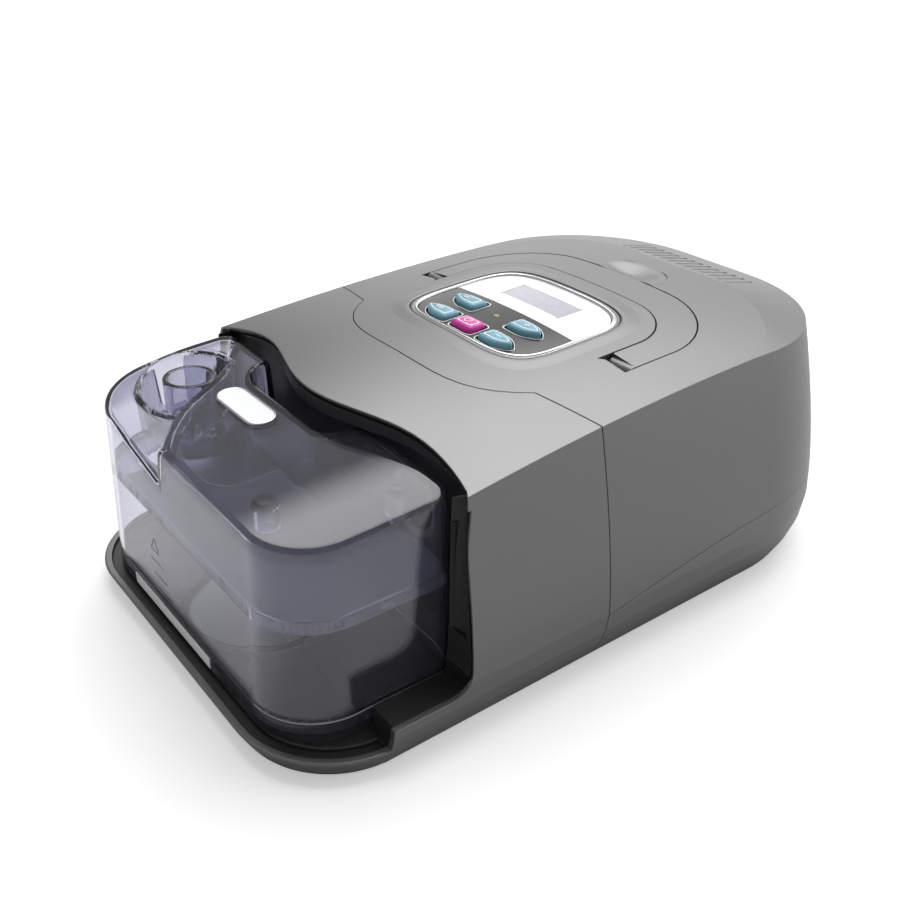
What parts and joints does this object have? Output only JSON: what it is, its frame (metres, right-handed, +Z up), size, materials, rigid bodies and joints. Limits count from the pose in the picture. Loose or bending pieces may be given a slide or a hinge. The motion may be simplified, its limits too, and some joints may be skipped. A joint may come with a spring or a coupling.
{
  "type": "bilevel pap machine",
  "caption": "Bedside bilevel airway pressure machine with fold-down carry handle, panel with keys and a display, and a docked heated humidifier with pull-out smoky water chamber.",
  "frame": {"origin": "on the floor plane under the centre of the machine's bounding box", "axes": "+Z up, +X to the right of someone who faces the water chamber, +Y towards the rear of the main unit, where the power inlet is"},
  "size_m": [0.2004, 0.3152, 0.1126],
  "materials": {
    "casing_grey": "satin metallic lacquer on moulded ABS",
    "liner_dark": "satin",
    "smoky_clear": "polished",
    "silver_trim": "satin chrome",
    "label_dark": "gloss film",
    "label_light": "gloss film",
    "lcd_glass": "clear",
    "lcd_case": "satin",
    "key_blue": "satin silicone",
    "key_magenta": "satin silicone",
    "silicone_grey": "matte",
    "led_lens": "clear",
    "board_green": "solder mask",
    "black_part": "moulded",
    "blower_plastic": "moulded",
    "steel": "plated",
    "black_rubber": "matte",
    "foam": "open cell",
    "filter_felt": "felt",
    "heater_metal": "machined",
    "heater_foil": "etched foil",
    "insulation": "felt"
  },
  "bodies": {
    "machine": {"top_cover": "casing_grey", "bottom_cover": "casing_grey", "handle_pins": "steel", "panel_bezel": "silver_trim", "label_dark": "label_dark", "label_light": "label_light", "lcd_window": "lcd_glass", "lcd_module": "lcd_case", "keypad_membrane": "silicone_grey", "status_led": "led_lens", "keypad_board": "board_green", "buzzer": "black_part", "main_board": "board_green", "blower_housing_lower": "blower_plastic", "blower_housing_upper": "blower_plastic", "motor_stator": "steel", "motor_bearings": "steel", "blower_mounts": "black_rubber", "muffler_foam": "foam", "outlet_duct": "black_part", "pressure_sensor": "black_part", "power_supply": "board_green", "power_inlet": "black_part", "power_pins": "steel", "data_port": "black_part", "air_filter": "filter_felt", "rubber_feet": "black_rubber", "case_screws": "steel", "dock_socket": "black_part", "humidifier_cover": "casing_grey", "humidifier_base": "liner_dark", "heater_plate": "heater_metal", "heater_element": "heater_foil", "heater_insulation": "insulation", "humidifier_board": "board_green", "dock_plug": "black_part", "air_elbow": "black_part", "dock_seal": "silicone_grey", "inlet_seal": "silicone_grey", "humidifier_screws": "steel"},
    "handle": {"carry_handle": "casing_grey"},
    "rotor": {"impeller": "blower_plastic", "motor_shaft": "steel"},
    "water_chamber": {"chamber_shell": "smoky_clear", "chamber_base": "smoky_clear", "chamber_gasket": "silicone_grey", "chamber_plate": "heater_metal", "splash_tray": "smoky_clear", "outlet_tube": "smoky_clear", "boss_seals": "silicone_grey", "chamber_badge": "label_light", "front_label": "label_light"},
    "filter_lid": {"filter_cover": "casing_grey"},
    "power_key_body": {"power_key": "key_magenta"},
    "key_front_left_body": {"key_front_left": "key_blue"},
    "key_rear_left_body": {"key_rear_left": "key_blue"},
    "key_plus_body": {"key_plus": "key_blue"},
    "key_minus_body": {"key_minus": "key_blue"}
  },
  "joints": [
    {"name": "handle_hinge", "type": "hinge", "parent": "machine", "child": "handle", "pos_m": [0, 0.0176, 0.10229], "axis": [1, 0, 0], "range_deg": [0, 90]},
    {"name": "rotor_spin", "type": "hinge", "parent": "machine", "child": "rotor", "pos_m": [0.024, 0.0579, 0.06], "axis": [0, 0, 1], "continuous": true},
    {"name": "chamber_slide", "type": "slide", "parent": "machine", "child": "water_chamber", "axis": [0, -1, 0], "range_m": [0, 0.12]},
    {"name": "filter_lid_slide", "type": "slide", "parent": "machine", "child": "filter_lid", "axis": [0, 1, 0], "range_m": [0, 0.03]},
    {"name": "power_key_press", "type": "slide", "parent": "machine", "child": "power_key_body", "axis": [0, 0, -1], "range_m": [0, 0.0008], "stiffness_N_per_m": 600},
    {"name": "key_front_left_press", "type": "slide", "parent": "machine", "child": "key_front_left_body", "axis": [0, 0, -1], "range_m": [0, 0.0008], "stiffness_N_per_m": 600},
    {"name": "key_rear_left_press", "type": "slide", "parent": "machine", "child": "key_rear_left_body", "axis": [0, 0, -1], "range_m": [0, 0.0008], "stiffness_N_per_m": 600},
    {"name": "key_plus_press", "type": "slide", "parent": "machine", "child": "key_plus_body", "axis": [0, 0, -1], "range_m": [0, 0.0008], "stiffness_N_per_m": 600},
    {"name": "key_minus_press", "type": "slide", "parent": "machine", "child": "key_minus_body", "axis": [0, 0, -1], "range_m": [0, 0.0008], "stiffness_N_per_m": 600}
  ]
}
